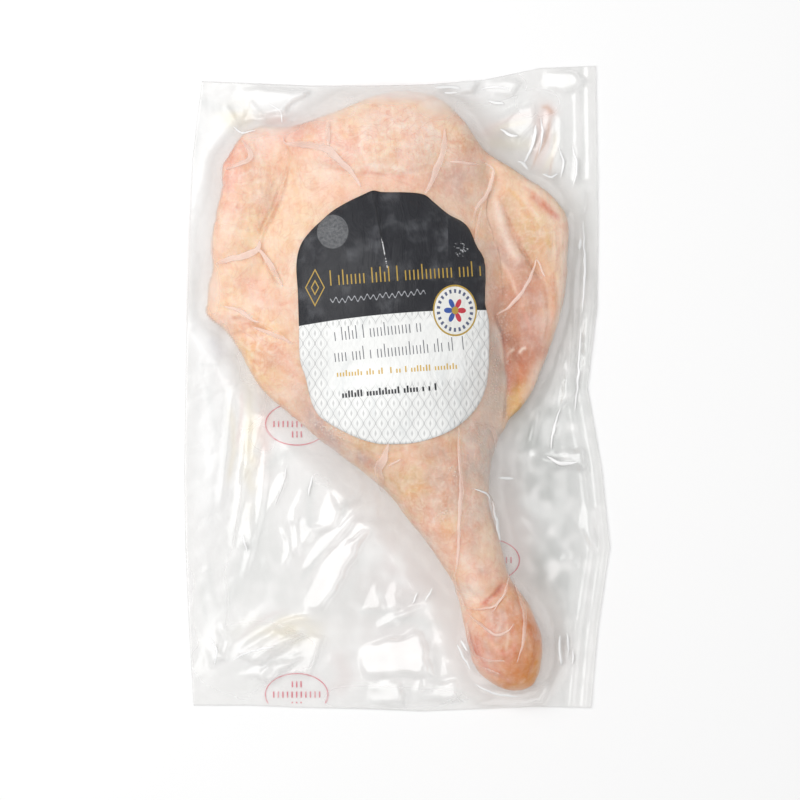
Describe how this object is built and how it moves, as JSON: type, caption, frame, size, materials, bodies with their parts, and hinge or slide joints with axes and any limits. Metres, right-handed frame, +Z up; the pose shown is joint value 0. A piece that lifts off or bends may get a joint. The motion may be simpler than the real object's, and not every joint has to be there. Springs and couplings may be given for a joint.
{
  "type": "vacuum-packed raw duck leg",
  "caption": "Raw duck leg lying skin side up in a flat clear vacuum bag, with an oval-cornered paper label on the thigh. Rests on its flat underside.",
  "frame": {"origin": "on the table under the middle of the bag's outline", "axes": "+Z up, away from the table, with the skin side up; +Y along the bag's length, from the leg's knuckle end to its thigh end; +X to the right as seen from above"},
  "size_m": [0.1819, 0.2759, 0.0342],
  "materials": {
    "raw_skin": "moist raw poultry skin, pale pink to cream-yellow",
    "clear_film": "clear glossy film, crumpled",
    "label_paper": "coated paper, charcoal field over a pale patterned field"
  },
  "bodies": {
    "root": {"duck_leg": "raw_skin", "film_bag": "clear_film", "paper_label": "label_paper"}
  },
  "joints": []
}
